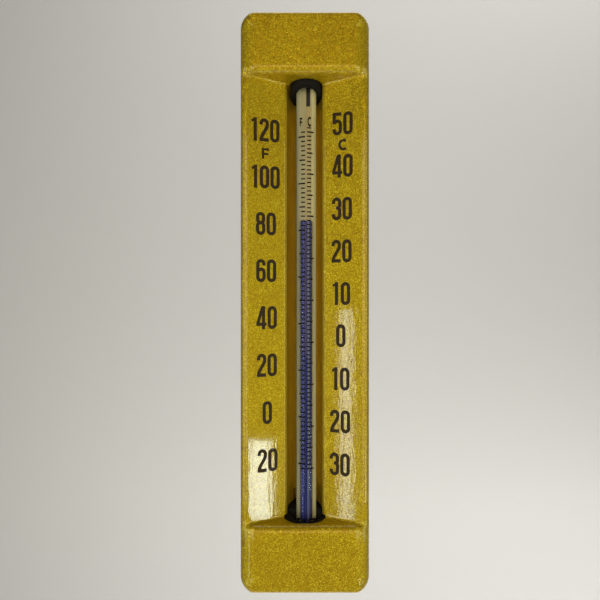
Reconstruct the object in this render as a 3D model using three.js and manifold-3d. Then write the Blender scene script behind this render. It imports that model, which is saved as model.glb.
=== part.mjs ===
// V-form liquid-in-glass industrial thermometer with a rear (90 degree) stem.
//
// Frame: millimetres, +Z up along the scale, -Y towards the reader, +Y along the stem into the pipe or duct.
// Origin: on the stem axis, in the sealing face of the hexagon (the face that seats on the pipe boss).
import * as THREE from "three";
import { mergeVertices } from "three/addons/utils/BufferGeometryUtils.js";
import Module from "manifold-3d";

const wasm = await Module();
wasm.setup();

// ---------------------------------------------------------------- driving dimensions
const CASE_W = 36; // width of the cast case
const CASE_FRONT = -47; // y of the front faces of the two end blocks
const CASE_BACK = -21; // y of the back face
const CASE_BOTTOM = -10.5;
const CASE_TOP = 150.5; // 161 mm long overall
const CORNER_R = 4; // outline corners, seen from the front
const BLOCK_EDGE_R = 3.4; // long front edges of the end blocks
const END_EDGE_R = 1.1; // front edges of the two ends

const RIM_DEPTH = 1.2; // outer rim of the V, behind the block front
const RIM_R = 1.5;
const V_OUTER = 16.2; // half width of the V at its rim
const V_INNER = 5.9; // half width of the V where the channel edge begins to round
const V_OUTER_DEPTH = 1.3;
const V_INNER_DEPTH = 6.1;
const CHANNEL_R = 5; // round-bottomed channel behind the V
const TUBE_DEPTH = 8.5; // scale tube axis behind the block front
const TUBE_X = 0.45; // the tube sits this far off centre in its rubber bushes

const LOWER_SHOULDER = 8.3; // z of the lower shoulder at its front
const UPPER_SHOULDER = 133.4;
const SHOULDER_R = 1.8;
const LOWER_DRAFT = 0.12; // rise per mm of depth
const UPPER_DRAFT = 0.2;

const UPPER_BORE_R = 4.6;
const LOWER_BORE_R = 6.1;
const LOWER_BORE_DEPTH = 8.0; // bore axis behind the block front
const PLUG_R = 5.4;

const TUBE_R = 2.9; // scale tube
const TUBE_TOP = 136;
const BEND_R = 6.5; // centreline of the 90 degree bend
const NECK_R = 2.2; // drawn-down neck of the tube
const BORE_A = 0.9; // half axes of the flat bore
const BORE_B = 0.45;
const THREAD_A = 0.72; // half axes of the spirit thread
const THREAD_B = 0.3;
const BULB_R = 3.2;
const SCALE_ZERO_C = 58.66; // z of 0 degrees C
const MM_PER_C = 1.196;
const READING_C = 28.5;

const SPIGOT_R = 7; // M14 x 1.5 neck and spigot
const HEX_AF = 27; // hexagon across flats
const HEX_T = 10;
const PIPE_R = 10.478; // G 1/2 major radius
const PIPE_MINOR_R = 9.316;
const PIPE_PITCH = 1.814;
const PIPE_LEN = 20;
const SEAL_R0 = 10.9; // annulus of the hexagon that seals on the boss
const SEAL_R1 = 13.3;
const STEM_R = 5; // immersion tube
const STEM_BORE_R = 4;
const STEM_TIP = 63; // immersion length from the sealing face
const NUT_AF = 22;
const NUT_T = 6.6;

const yf = (depth) => CASE_FRONT + depth; // depth behind the block front, as a y
const meniscusZ = SCALE_ZERO_C + READING_C * MM_PER_C;

// ---------------------------------------------------------------- helpers
const solid = (g) => {
  const bare = g.index ? g.toNonIndexed() : g.clone();
  bare.deleteAttribute("normal");
  bare.deleteAttribute("uv");
  const m = mergeVertices(bare, 1e-4);
  return new wasm.Manifold(
    new wasm.Mesh({
      numProp: 3,
      vertProperties: new Float32Array(m.attributes.position.array),
      triVerts: new Uint32Array(m.index.array),
    }),
  );
};
const geometry = (s) => {
  const m = s.getMesh(),
    n = m.numProp,
    p = new Float32Array(m.numVert * 3);
  for (let i = 0; i < m.numVert; i++)
    p.set(m.vertProperties.subarray(i * n, i * n + 3), i * 3);
  const g = new THREE.BufferGeometry()
    .setAttribute("position", new THREE.BufferAttribute(p, 3))
    .setIndex(new THREE.BufferAttribute(new Uint32Array(m.triVerts), 1));
  g.computeVertexNormals();
  return g;
};
const X = new THREE.Vector3(1, 0, 0),
  Y = new THREE.Vector3(0, 1, 0),
  Z = new THREE.Vector3(0, 0, 1);
const shapeOf = (points) => new THREE.Shape(points.map(([u, v]) => new THREE.Vector2(u, v)));
const extrude = (points, depth) =>
  new THREE.ExtrudeGeometry(shapeOf(points), { depth, bevelEnabled: false });
// Points are (x, y), swept from z0 to z1.
const prismZ = (points, z0, z1) => solid(extrude(points, z1 - z0).translate(0, 0, z0));
// Points are (y, z), swept from x0 to x1.
const prismX = (points, x0, x1) =>
  solid(
    extrude(points, x1 - x0)
      .applyMatrix4(new THREE.Matrix4().makeBasis(Y, Z, X))
      .translate(x0, 0, 0),
  );
// Points are (x, z), swept from y0 to y1.
const prismY = (points, y0, y1) =>
  solid(
    extrude(points, y1 - y0)
      .applyMatrix4(new THREE.Matrix4().makeBasis(X, Z, Y.clone().negate()))
      .translate(0, y1, 0),
  );
const box = (x0, x1, y0, y1, z0, z1) =>
  solid(
    new THREE.BoxGeometry(x1 - x0, y1 - y0, z1 - z0).translate(
      (x0 + x1) / 2,
      (y0 + y1) / 2,
      (z0 + z1) / 2,
    ),
  );
const cylY = (r, y0, y1, x = 0, z = 0, n = 40) =>
  solid(new THREE.CylinderGeometry(r, r, y1 - y0, n).translate(x, (y0 + y1) / 2, z));
const cylZ = (r, z0, z1, x, y, n = 40) =>
  solid(
    new THREE.CylinderGeometry(r, r, z1 - z0, n)
      .rotateX(Math.PI / 2)
      .translate(x, y, (z0 + z1) / 2),
  );
// Profile is (radius, y), from the low end on the axis to the high end.
const latheY = (profile, n = 40) =>
  solid(new THREE.LatheGeometry(profile.map(([r, y]) => new THREE.Vector2(r, y)), n));
const arc = (cx, cy, r, a0, a1, n) =>
  Array.from({ length: n + 1 }, (_, i) => {
    const a = ((a0 + ((a1 - a0) * i) / n) * Math.PI) / 180;
    return [cx + r * Math.cos(a), cy + r * Math.sin(a)];
  });
const roundRect = (x0, x1, z0, z1, r, n = 7) => [
  ...arc(x1 - r, z0 + r, r, -90, 0, n),
  ...arc(x1 - r, z1 - r, r, 0, 90, n),
  ...arc(x0 + r, z1 - r, r, 90, 180, n),
  ...arc(x0 + r, z0 + r, r, 180, 270, n),
];
const hexagon = (af, turn = 0) =>
  Array.from({ length: 6 }, (_, i) => {
    const a = ((i * 60 + 30 + turn) * Math.PI) / 180,
      r = af / Math.sqrt(3);
    return [r * Math.cos(a), r * Math.sin(a)];
  });
const ellipse = (a, b, n = 12) =>
  Array.from({ length: n }, (_, i) => {
    const t = (i / n) * Math.PI * 2;
    return [a * Math.cos(t), b * Math.sin(t)];
  });
const sweep = (section, path, steps) =>
  solid(
    new THREE.ExtrudeGeometry(shapeOf(section), {
      steps,
      bevelEnabled: false,
      extrudePath: path,
    }),
  );
const finish = {
  gold: new THREE.MeshStandardMaterial({ color: 0xb08c1c, roughness: 0.38, metalness: 0.55 }),
  rubber: new THREE.MeshStandardMaterial({ color: 0x141414, roughness: 0.85, metalness: 0 }),
  glass: new THREE.MeshStandardMaterial({
    color: 0xe4ebe4,
    roughness: 0.05,
    metalness: 0,
    transparent: true,
    opacity: 0.35,
  }),
  opal: new THREE.MeshStandardMaterial({ color: 0xc9bf94, roughness: 0.4, metalness: 0 }),
  spirit: new THREE.MeshStandardMaterial({ color: 0x1c2c9a, roughness: 0.2, metalness: 0 }),
  brass: new THREE.MeshStandardMaterial({ color: 0xb8933f, roughness: 0.3, metalness: 0.9 }),
  steel: new THREE.MeshStandardMaterial({ color: 0xb9bcc0, roughness: 0.3, metalness: 0.9 }),
  cord: new THREE.MeshStandardMaterial({ color: 0xbfb8a6, roughness: 0.9, metalness: 0 }),
};
const piece = (name, body, material) => {
  const mesh = new THREE.Mesh(geometry(body), material);
  mesh.name = name;
  return mesh;
};

// ---------------------------------------------------------------- case casting
const half = CASE_W / 2;
// Cross-section of the end blocks, seen along Z: rounded front edges, small back chamfers.
const blockSection = [
  [-half + 0.7, CASE_BACK],
  [-half, CASE_BACK - 0.7],
  ...arc(-half + BLOCK_EDGE_R, CASE_FRONT + BLOCK_EDGE_R, BLOCK_EDGE_R, 180, 270, 8),
  ...arc(half - BLOCK_EDGE_R, CASE_FRONT + BLOCK_EDGE_R, BLOCK_EDGE_R, 270, 360, 8),
  [half, CASE_BACK - 0.7],
  [half - 0.7, CASE_BACK],
];
const endProfile = [
  [CASE_BACK + 1, CASE_BOTTOM],
  [CASE_BACK + 1, CASE_TOP],
  ...arc(CASE_FRONT + END_EDGE_R, CASE_TOP - END_EDGE_R, END_EDGE_R, 90, 180, 4),
  ...arc(CASE_FRONT + END_EDGE_R, CASE_BOTTOM + END_EDGE_R, END_EDGE_R, 180, 270, 4),
];
let casting = prismY(roundRect(-half, half, CASE_BOTTOM, CASE_TOP, CORNER_R), CASE_FRONT, CASE_BACK)
  .intersect(prismZ(blockSection, CASE_BOTTOM - 1, CASE_TOP + 1))
  .intersect(prismX(endProfile, -half - 1, half + 1));

// The V and its channel: everything in front of the two inclined faces, between the shoulders.
const rightOfV = [
  [half + 1, yf(RIM_DEPTH + RIM_R)],
  [half, yf(RIM_DEPTH + RIM_R)],
  ...arc(half - RIM_R, yf(RIM_DEPTH + RIM_R), RIM_R, -18, -90, 4),
  [V_OUTER, yf(V_OUTER_DEPTH)],
  [V_INNER, yf(V_INNER_DEPTH)],
  [CHANNEL_R + 0.42, yf(V_INNER_DEPTH + 0.32)],
  [CHANNEL_R + 0.12, yf(V_INNER_DEPTH + 0.68)],
  [CHANNEL_R, yf(V_INNER_DEPTH + 1.15)],
  ...arc(0, yf(TUBE_DEPTH), CHANNEL_R, 0, 90, 10),
];
const vSection = [
  [half + 1, CASE_FRONT - 1],
  ...rightOfV,
  ...rightOfV
    .slice(0, -1)
    .reverse()
    .map(([x, y]) => [-x, y]),
  [-half - 1, CASE_FRONT - 1],
].reverse();
const deep = 16;
const shoulders = [
  [CASE_FRONT - 2, LOWER_SHOULDER - SHOULDER_R],
  ...arc(yf(SHOULDER_R), LOWER_SHOULDER - SHOULDER_R, SHOULDER_R, 180, 90, 5),
  [yf(deep), LOWER_SHOULDER + LOWER_DRAFT * (deep - SHOULDER_R)],
  [yf(deep), UPPER_SHOULDER - UPPER_DRAFT * (deep - SHOULDER_R)],
  ...arc(yf(SHOULDER_R), UPPER_SHOULDER + SHOULDER_R, SHOULDER_R, 270, 180, 5),
  [CASE_FRONT - 2, UPPER_SHOULDER + SHOULDER_R],
].reverse();
const vCut = prismZ(vSection, 0, 140).intersect(prismX(shoulders, -half - 2, half + 2));
casting = casting.subtract(vCut);

// Hollow back, which follows the V at a wall of about 2.3 mm.
const cavitySection = [
  [-15.8, CASE_BACK + 1],
  [-15.8, yf(4.2)],
  [-7.2, yf(8.4)],
  [-7.2, yf(12)],
  [-5.6, yf(14.3)],
  [-3, yf(15.4)],
  [3, yf(15.4)],
  [5.6, yf(14.3)],
  [7.2, yf(12)],
  [7.2, yf(8.4)],
  [15.8, yf(4.2)],
  [15.8, CASE_BACK + 1],
];
const COVER_Z0 = 13.4,
  COVER_Z1 = 148.6,
  COVER_T = 2;
casting = casting.subtract(
  prismZ(cavitySection, 14.4, 147.6).intersect(
    prismY(roundRect(-15.8, 15.8, 14.4, 147.6, 2.5, 4), CASE_FRONT, CASE_BACK + 1),
  ),
);
// Rebate for the back cover and four pillars for its screws.
const SCREWS = [
  [-11.5, 23],
  [11.5, 23],
  [-11.5, 139],
  [11.5, 139],
];
for (const [x, z] of SCREWS)
  casting = casting.add(cylY(3, yf(7.5), CASE_BACK - COVER_T - 0.15, x, z, 24));
casting = casting.subtract(
  prismY(
    roundRect(-16.7, 16.7, COVER_Z0 - 0.2, COVER_Z1 + 0.2, 3, 5),
    CASE_BACK - COVER_T,
    CASE_BACK + 1,
  ),
);
for (const [x, z] of SCREWS)
  casting = casting.subtract(cylY(1.35, yf(14), CASE_BACK + 1, x, z, 20));

// Upper bore for the tube's cap and spring, and the wider mouth of the plug above it.
casting = casting
  .subtract(cylZ(UPPER_BORE_R, 126, 144.2, 0, yf(TUBE_DEPTH), 40))
  .subtract(cylZ(PLUG_R + 0.1, 144.2, CASE_TOP + 1, 0, yf(TUBE_DEPTH), 32));
// Lower opening, cut off by a plane that rises towards the back.
const below = (z, depth, slope) =>
  prismX(
    [
      [yf(-4), -20],
      [yf(30), -20],
      [yf(30), z + slope * (30 - depth)],
      [yf(-4), z + slope * (-4 - depth)],
    ],
    -20,
    20,
  );
casting = casting.subtract(
  cylZ(LOWER_BORE_R, -4.5, 14, 0, yf(LOWER_BORE_DEPTH), 44).intersect(
    below(9.7, LOWER_BORE_DEPTH, 0.27),
  ),
);
// Room for the bend and the retaining ring, the spigot bore, and the window that reaches the ring from behind.
casting = casting
  .subtract(cylY(8.5, yf(7.8), yf(16), 0, 0, 44))
  .subtract(cylY(SPIGOT_R + 0.06, yf(15), CASE_BACK + 1, 0, 0, 44))
  .subtract(box(-6.4, 6.4, yf(12.6), yf(16), 4, 15));

// ---------------------------------------------------------------- back cover and screws
let cover = prismY(
  roundRect(-16.5, 16.5, COVER_Z0, COVER_Z1, 2.9, 5),
  CASE_BACK - COVER_T + 0.1,
  CASE_BACK,
);
for (const [x, z] of SCREWS)
  cover = cover
    .subtract(cylY(1.7, CASE_BACK - 4, CASE_BACK + 1, x, z, 20))
    .subtract(
      solid(
        new THREE.CylinderGeometry(3.15, 1.6, 1.55, 24).translate(x, CASE_BACK - 0.775 + 0.05, z),
      ),
    );
const screw = () =>
  latheY(
    [
      [0, -9.5],
      [0.9, -9.5],
      [1.25, -8.9],
      [1.25, -1.45],
      [2.85, -0.1],
      [2.85, 0],
      [0, 0],
    ],
    24,
  )
    .subtract(box(-0.36, 0.36, -0.75, 1, -2.1, 2.1))
    .subtract(box(-2.1, 2.1, -0.75, 1, -0.36, 0.36));

// ---------------------------------------------------------------- rubber bushes, spring and plug
// Cap over the top of the tube. Its open end is cut obliquely, longer at the back.
const above = (z, depth, slope) =>
  prismX(
    [
      [yf(-4), z + slope * (-4 - depth)],
      [yf(30), z + slope * (30 - depth)],
      [yf(30), 160],
      [yf(-4), 160],
    ],
    -20,
    20,
  );
const upperBush = cylZ(UPPER_BORE_R - 0.15, 120, 138.4, 0, yf(TUBE_DEPTH), 40)
  .intersect(above(129.3, TUBE_DEPTH, -0.55))
  .subtract(cylZ(TUBE_R + 0.08, 110, TUBE_TOP + 0.3, TUBE_X, yf(TUBE_DEPTH), 32));
const lowerBush = cylZ(LOWER_BORE_R - 0.12, 7.35, 14, 0, yf(LOWER_BORE_DEPTH), 44)
  .intersect(below(9.55, LOWER_BORE_DEPTH, 0.27))
  .subtract(cylZ(TUBE_R + 0.08, 0, 20, TUBE_X, yf(TUBE_DEPTH), 32))
  .subtract(box(-8, 8, yf(14.02), yf(20), 0, 20));

class Helix extends THREE.Curve {
  constructor(r, z0, z1, turns) {
    super();
    Object.assign(this, { r, z0, z1, turns });
  }
  getPoint(t, p = new THREE.Vector3()) {
    const a = t * this.turns * Math.PI * 2;
    return p.set(
      this.r * Math.cos(a),
      this.r * Math.sin(a),
      this.z0 + (this.z1 - this.z0) * t,
    );
  }
}
const spring = sweep(ellipse(0.36, 0.36, 6), new Helix(3.5, 139, 143.4, 3.5), 56);
const plug = cylZ(PLUG_R, 144.3, CASE_TOP - 0.1, 0, 0, 32).subtract(
  box(-6, 6, -0.7, 0.7, CASE_TOP - 1.7, CASE_TOP + 1),
);

// ---------------------------------------------------------------- glass insert
// Scale tube with a flat back for the opal strip, drawn down to a neck, bent to the stem axis and blown into a bulb.
const tubeY = yf(TUBE_DEPTH),
  BACK_FLAT = 2.0;
const scaleSection = (() => {
  const a = (Math.asin(BACK_FLAT / TUBE_R) * 180) / Math.PI;
  return arc(0, 0, TUBE_R, 180 - a, 360 + a, 30);
})();
// Centreline (y, z) of the neck and its bore: down the tube, round the bend and along the stem.
const bendPoints = (top, end) => {
  const pts = [];
  if (top > BEND_R + 0.6) pts.push([0, top]);
  pts.push([0, BEND_R + 0.3]);
  for (const q of arc(BEND_R, BEND_R, BEND_R, 180, 270, 10)) pts.push(q);
  pts.push([BEND_R + 0.6, 0]);
  if (end > BEND_R + 1.2) pts.push([end, 0]);
  return pts;
};
// A tube of the given section along a route in the YZ plane, built ring by ring so that its rings stay square to the route.
const routed = (a, b, pts, n = 16) => {
  const rings = pts.map(([y, z], i) => {
    const [y0, z0] = pts[Math.max(0, i - 1)],
      [y1, z1] = pts[Math.min(pts.length - 1, i + 1)];
    const l = Math.hypot(y1 - y0, z1 - z0),
      ty = (y1 - y0) / l,
      tz = (z1 - z0) / l;
    return Array.from({ length: n }, (_, k) => {
      const t = (k / n) * Math.PI * 2,
        u = a * Math.cos(t),
        v = b * Math.sin(t);
      return [u, y + v * -tz, z + v * ty];
    });
  });
  const pos = rings.flat(2),
    idx = [];
  const first = 0,
    last = (pts.length - 1) * n;
  for (let i = 0; i + 1 < pts.length; i++)
    for (let k = 0; k < n; k++) {
      const p = i * n + k,
        q = i * n + ((k + 1) % n);
      idx.push(p, q, p + n, q, q + n, p + n);
    }
  for (let k = 1; k + 1 < n; k++) {
    idx.push(first, first + k + 1, first + k);
    idx.push(last, last + k, last + k + 1);
  }
  const g = new THREE.BufferGeometry()
    .setAttribute("position", new THREE.Float32BufferAttribute(pos, 3))
    .setIndex(idx);
  let s = solid(g);
  if (s.volume() < 0) {
    for (let i = 0; i < idx.length; i += 3) [idx[i + 1], idx[i + 2]] = [idx[i + 2], idx[i + 1]];
    s = solid(g.setIndex(idx));
  }
  return s;
};
const NECK_END = 36 - tubeY; // where the bulb begins, along the stem from the tube's own axis
const bulb = (r, y0, y1) =>
  latheY(
    [
      [0, y0],
      ...arc(0, y0 + r * 0.9, r * 0.9, -90, 0, 7)
        .slice(1)
        .map(([u, v]) => [u * (r / (r * 0.9)), v]),
      ...arc(0, y1 - r, r, 0, 90, 7).slice(0, -1),
      [0, y1],
    ],
    20,
  );
let glass = prismZ(scaleSection, BEND_R, TUBE_TOP)
  .add(routed(NECK_R, NECK_R, bendPoints(BEND_R + 2, NECK_END), 20))
  .add(bulb(BULB_R, NECK_END - 2, NECK_END + 20));
const hollow = routed(BORE_A, BORE_B, bendPoints(TUBE_TOP + 2, NECK_END + 3), 14).add(
  bulb(BULB_R - 0.6, NECK_END, NECK_END + 19.2),
);
glass = glass.subtract(hollow);
const opal = prismZ(
  (() => {
    const r = TUBE_R - 0.04,
      y = BACK_FLAT + 0.06,
      a = (Math.asin(y / r) * 180) / Math.PI;
    return arc(0, 0, r, a, 180 - a, 10);
  })(),
  12.5,
  130.5,
);
const SPIRIT_SPLIT = 9; // z at which the standing fill ends and the moving thread begins
const spiritFill = routed(THREAD_A, THREAD_B, bendPoints(SPIRIT_SPLIT, NECK_END + 3), 12).add(
  bulb(BULB_R - 0.75, NECK_END + 0.15, NECK_END + 19.05),
);
const MENISCUS_T = 1.6;
const spiritColumn = prismZ(ellipse(THREAD_A, THREAD_B, 12), SPIRIT_SPLIT + 0.02, meniscusZ - MENISCUS_T - 0.02);
const meniscus = prismZ(ellipse(THREAD_A, THREAD_B, 12), meniscusZ - MENISCUS_T, meniscusZ);

// ---------------------------------------------------------------- brass stem, nut and washer
const ridge = (major, minor, pitch, y0, n) =>
  Array.from({ length: n }, (_, i) => [
    [minor, y0 + i * pitch],
    [major, y0 + (i + 0.5) * pitch],
  ]).flat();
const SPIGOT_END = yf(13.2); // inner end of the spigot, inside the case
const GROOVE = [yf(14.5), yf(15.7)];
const NECK_THREAD_0 = -19.9,
  NECK_THREAD_N = 6;
let connector = latheY(
  [
    [0, SPIGOT_END],
    [SPIGOT_R - 0.5, SPIGOT_END],
    [SPIGOT_R, SPIGOT_END + 0.5],
    [SPIGOT_R, GROOVE[0]],
    [SPIGOT_R - 0.8, GROOVE[0]],
    [SPIGOT_R - 0.8, GROOVE[1]],
    [SPIGOT_R, GROOVE[1]],
    [SPIGOT_R, NECK_THREAD_0 - 0.6],
    ...ridge(SPIGOT_R, SPIGOT_R - 0.8, 1.5, NECK_THREAD_0, NECK_THREAD_N),
    [SPIGOT_R - 0.8, -HEX_T],
    [HEX_AF / 2 - 0.6, -HEX_T],
    [HEX_AF / Math.sqrt(3) - 0.1, -HEX_T + 1.1],
    [HEX_AF / Math.sqrt(3) - 0.1, -1.2],
    [SEAL_R1, 0],
    [SEAL_R0, 0],
    [SEAL_R0, -0.5],
    [PIPE_MINOR_R - 0.3, -0.5],
    [PIPE_MINOR_R - 0.3, 1.4],
    ...ridge(PIPE_R, PIPE_MINOR_R, PIPE_PITCH, 1.5, 10),
    [PIPE_MINOR_R, PIPE_LEN - 0.1],
    [PIPE_MINOR_R - 0.6, PIPE_LEN],
    [0, PIPE_LEN],
  ],
  36,
);
// The hexagon's flats are cut on the turned blank.
connector = connector.intersect(
  prismY(hexagon(HEX_AF, 30), -HEX_T - 0.001, 0.001)
    .add(cylY(SPIGOT_R + 1, SPIGOT_END - 1, -HEX_T, 0, 0, 24))
    .add(cylY(PIPE_R + 1, 0, PIPE_LEN + 1, 0, 0, 24)),
);
connector = connector
  .subtract(cylY(4.2, SPIGOT_END - 1, 8, 0, 0, 32))
  .subtract(cylY(STEM_R + 0.05, 7, PIPE_LEN + 1, 0, 0, 36));
const immersion = latheY(
  [
    [STEM_BORE_R, 7.2],
    [STEM_R, 7.2],
    [STEM_R, STEM_TIP - 4.05],
    [STEM_BORE_R, STEM_TIP - 4.05],
    [STEM_BORE_R, 7.2],
  ],
  36,
);
const tip = latheY(
  [
    [0, STEM_TIP - 7],
    [STEM_BORE_R - 0.4, STEM_TIP - 7],
    [STEM_BORE_R - 0.06, STEM_TIP - 6.6],
    [STEM_BORE_R - 0.06, STEM_TIP - 4],
    [STEM_R, STEM_TIP - 4],
    [STEM_R, STEM_TIP - 1.6],
    ...arc(STEM_R - 1.6, STEM_TIP - 1.6, 1.6, 18, 90, 4),
    [0, STEM_TIP],
  ],
  36,
);
// Lock nut with both faces chamfered at 30 degrees.
const nutBlank = latheY(
  [
    [0, 0],
    [NUT_AF / 2 - 0.3, 0],
    [NUT_AF / Math.sqrt(3), 1.0],
    [NUT_AF / Math.sqrt(3), NUT_T - 1.0],
    [NUT_AF / 2 - 0.3, NUT_T],
    [0, NUT_T],
  ],
  48,
);
const nut = nutBlank
  .intersect(prismY(hexagon(NUT_AF, 12), -1, NUT_T + 1))
  .subtract(cylY(SPIGOT_R + 0.1, -1, NUT_T + 1, 0, 0, 40));
const washer = latheY(
  [
    [SPIGOT_R + 0.12, 0.15],
    [9.6, 0],
    [10.3, 0.1],
    [10.3, 0.95],
    [9.6, 1.05],
    [SPIGOT_R + 0.12, 1.05],
    [SPIGOT_R + 0.12, 0.15],
  ],
  44,
).subtract(box(-0.4, 0.4, -1, 2, 5, 12)); // split, as a spring washer
const ring = (() => {
  const r0 = SPIGOT_R - 0.72,
    r1 = 8.2;
  const open = 28;
  return prismY(
    [...arc(0, 0, r1, 90 + open, 450 - open, 32), ...arc(0, 0, r0, 450 - open, 90 + open, 32)],
    GROOVE[0] + 0.1,
    GROOVE[1] - 0.1,
  );
})();
const packing = cylY(4.05, 0, 4, 0, 0, 32).subtract(cylY(NECK_R + 0.08, -1, 5, TUBE_X, 0, 24));

// ---------------------------------------------------------------- the thermometer
const thermometer = new THREE.Group();
const add = (parent, mesh, x = 0, y = 0, z = 0) => {
  mesh.position.set(x, y, z);
  parent.add(mesh);
  return mesh;
};

// Fixed in the pipe: the stem.
const stem = new THREE.Group();
add(stem, piece("stem_connector", connector, finish.brass));
add(stem, piece("immersion_tube", immersion, finish.brass));
add(stem, piece("stem_tip", tip, finish.brass));
add(stem, piece("retaining_ring", ring, finish.steel));
thermometer.add(stem);

// Lock nut and spring washer, which clamp the case against the retaining ring.
const WASHER_Y = CASE_BACK + 0.1,
  NUT_Y = WASHER_Y + 1.25;
const lock = new THREE.Group();
add(lock, piece("spring_washer", washer, finish.steel), 0, WASHER_Y, 0);
add(lock, piece("lock_nut", nut, finish.brass), 0, NUT_Y, 0);
thermometer.add(lock);

// Turns on the spigot: the case, its fittings and the glass insert.
const head = new THREE.Group();
add(head, piece("case", casting, finish.gold));
add(head, piece("rear_cover", cover, finish.gold));
SCREWS.forEach(([x, z], i) =>
  add(head, piece(`cover_screw_${i + 1}`, screw(), finish.steel), x, CASE_BACK - 0.03, z),
);
add(head, piece("upper_bush", upperBush, finish.rubber));
add(head, piece("lower_bush", lowerBush, finish.rubber));
add(head, piece("insert_spring", spring, finish.steel), 0, yf(TUBE_DEPTH), 0);
add(head, piece("top_plug", plug, finish.brass), 0, yf(TUBE_DEPTH), 0);
add(head, piece("neck_packing", packing, finish.cord), 0, yf(16), 0);
const insert = new THREE.Group();
insert.position.set(TUBE_X, tubeY, 0);
add(insert, piece("glass_tube", glass, finish.glass));
add(insert, piece("opal_strip", opal, finish.opal));
add(insert, piece("spirit_fill", spiritFill, finish.spirit));
add(insert, piece("spirit_column", spiritColumn, finish.spirit));
add(insert, piece("meniscus", meniscus, finish.spirit));
head.add(insert);
thermometer.add(head);

export default thermometer;
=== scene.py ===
"""Looks of the V-form industrial thermometer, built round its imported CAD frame.

Lengths in the geometry code are in millimetres in the part's own frame; meshes are scaled to metres when they are made.
"""

import math

import bpy
import numpy as np
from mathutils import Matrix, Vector
from mathutils.geometry import delaunay_2d_cdt


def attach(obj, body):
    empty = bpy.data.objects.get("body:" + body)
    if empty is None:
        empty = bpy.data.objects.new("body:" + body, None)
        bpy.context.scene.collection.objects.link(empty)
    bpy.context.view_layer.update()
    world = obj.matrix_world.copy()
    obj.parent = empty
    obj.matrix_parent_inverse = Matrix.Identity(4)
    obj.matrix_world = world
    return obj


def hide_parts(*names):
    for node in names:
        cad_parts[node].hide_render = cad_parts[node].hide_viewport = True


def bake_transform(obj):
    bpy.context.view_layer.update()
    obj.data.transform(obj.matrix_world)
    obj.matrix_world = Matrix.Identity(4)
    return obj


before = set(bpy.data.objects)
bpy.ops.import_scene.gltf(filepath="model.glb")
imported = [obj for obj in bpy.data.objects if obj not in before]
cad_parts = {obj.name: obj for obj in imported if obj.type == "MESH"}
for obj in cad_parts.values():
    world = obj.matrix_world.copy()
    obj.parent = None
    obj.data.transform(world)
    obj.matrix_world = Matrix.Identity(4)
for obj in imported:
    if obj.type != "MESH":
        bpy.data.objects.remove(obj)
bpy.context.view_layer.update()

# ---------------------------------------------------------------- the part's dimensions, mm
FRONT = -47.0  # y of the end blocks' front faces
BACK = -21.0
BOTTOM, TOP = -10.5, 150.5
HALF = 18.0
V_OUT, V_OUT_D = 16.2, 1.3
V_SLOPE = (6.1 - 1.3) / (16.2 - 5.9)
V_COS = 1 / math.hypot(1, V_SLOPE)
TUBE_X, TUBE_Y, TUBE_R = 0.45, FRONT + 8.5, 2.9
SCALE_ZERO, PER_C = 58.66, 1.196
READING = SCALE_ZERO + 28.5 * PER_C


# ---------------------------------------------------------------- mesh making
def make_mesh(name, verts, faces, normals=None, smooth=True):
    """verts in mm. faces is an (n, 3) or (n, 4) array, or a list of index lists."""
    me = bpy.data.meshes.new(name)
    verts = np.asarray(verts, np.float64) * 0.001
    if isinstance(faces, np.ndarray):
        n, k = faces.shape
        me.vertices.add(len(verts))
        me.vertices.foreach_set("co", verts.astype(np.float32).ravel())
        me.loops.add(n * k)
        me.loops.foreach_set("vertex_index", faces.astype(np.int32).ravel())
        me.polygons.add(n)
        me.polygons.foreach_set("loop_start", np.arange(0, n * k, k, dtype=np.int32))
        me.update(calc_edges=True)
    else:
        me.from_pydata([tuple(v) for v in verts], [], faces)
    me.validate()
    me.polygons.foreach_set("use_smooth", [bool(smooth)] * len(me.polygons))
    if normals is not None and len(me.vertices) == len(normals):
        me.normals_split_custom_set_from_vertices([tuple(v) for v in normals])
    me.update()
    ob = bpy.data.objects.new(name, me)
    bpy.context.scene.collection.objects.link(ob)
    return ob


def spaced(*runs):
    """Grid lines: runs of (start, stop, step), each joined to the next."""
    out = []
    for a, b, s in runs:
        n = max(1, int(round((b - a) / s)))
        out += list(np.linspace(a, b, n, endpoint=False))
    out.append(runs[-1][1])
    return np.array(out)


def mirrored(*runs):
    half = spaced(*runs)
    return np.concatenate([-half[:0:-1], half])


CORNERS = [(i, j, k) for i in (0, 1) for j in (0, 1) for k in (0, 1)]
EDGES = [
    (a, b)
    for a in range(8)
    for b in range(a + 1, 8)
    if sum(abs(p - q) for p, q in zip(CORNERS[a], CORNERS[b])) == 1
]


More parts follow.
